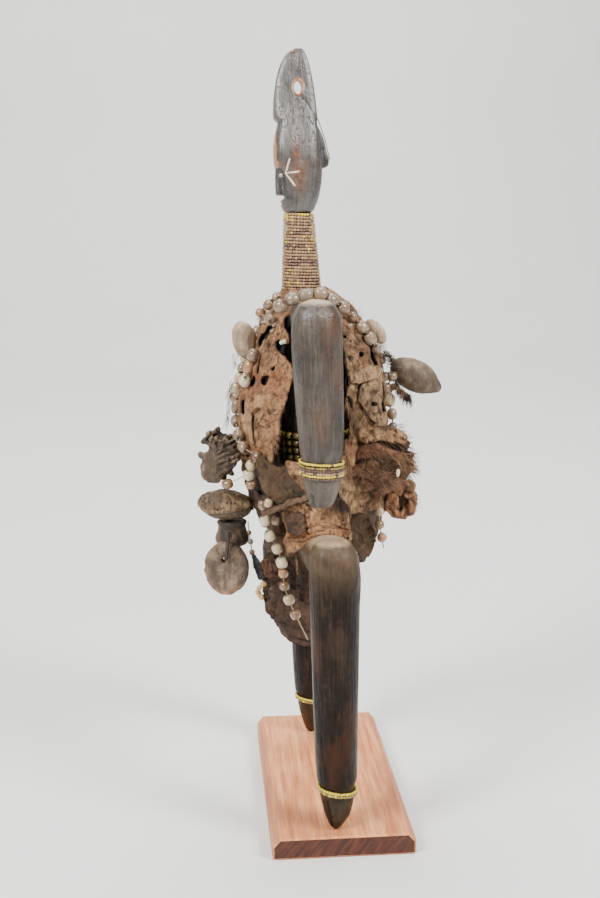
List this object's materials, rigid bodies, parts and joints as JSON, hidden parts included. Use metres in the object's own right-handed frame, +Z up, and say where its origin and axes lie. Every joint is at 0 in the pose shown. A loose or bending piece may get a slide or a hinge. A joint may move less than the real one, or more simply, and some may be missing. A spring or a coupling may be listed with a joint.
{
  "type": "namji doll",
  "caption": "Carved wooden doll with a holed crest, wrapped in hides, bead strands and charms, standing on a wooden base plate.",
  "frame": {"origin": "middle of the base plate's underside", "axes": "+Z up, the doll faces -Y, its left side is +X"},
  "size_m": [0.1952, 0.1605, 0.4917],
  "materials": {
    "plate_wood": "planed, oiled",
    "figure_wood": "old dark patina, worn and polished by hands",
    "seed_beads": "dusty opaque glass",
    "yellow_beads": "opaque yellow and dark glass",
    "large_beads": "opaque glossy glass, worn",
    "hide": "dry, cracked, dusty",
    "dark_hide": "dry, dark, dusty",
    "seed_skin": "dry seed skin, matte",
    "pod_skin": "dry pod and root, matte",
    "bone": "old bone",
    "cord": "dark twisted fibre",
    "inlay": "old white shell"
  },
  "bodies": {
    "root": {"base_plate": "plate_wood", "figure": "figure_wood", "neck_beads": "seed_beads", "bracelet_left": "yellow_beads", "bracelet_right": "yellow_beads", "anklet_left": "yellow_beads", "anklet_right": "yellow_beads", "waist_beads": "yellow_beads", "hide_front": "hide", "hide_back": "hide", "hide_back_lower": "dark_hide", "hide_apron_left": "hide", "hide_apron_right": "hide", "hide_tatter": "dark_hide", "hide_strap": "hide", "hide_twist": "hide", "hide_curl": "hide", "fur_bundle": "hide", "leg_wrap": "dark_hide", "bead_strand_left": "large_beads", "bead_strand_right": "large_beads", "bead_string_front": "large_beads", "bead_string_back": "large_beads", "bead_string_spool": "large_beads", "seed_front_upper": "seed_skin", "seed_back_upper": "seed_skin", "pod_back": "seed_skin", "disc_seed": "seed_skin", "root_charm": "pod_skin", "pod_front": "pod_skin", "spool_front": "pod_skin", "disc_cord": "cord", "bone_upper": "bone", "bone_lower": "bone", "crest_thread": "cord", "cheek_inlay_left": "inlay", "cheek_inlay_right": "inlay", "cheek_inlay_lower_left": "inlay", "cheek_inlay_lower_right": "inlay", "eye_left": "inlay", "eye_right": "inlay"}
  },
  "joints": []
}
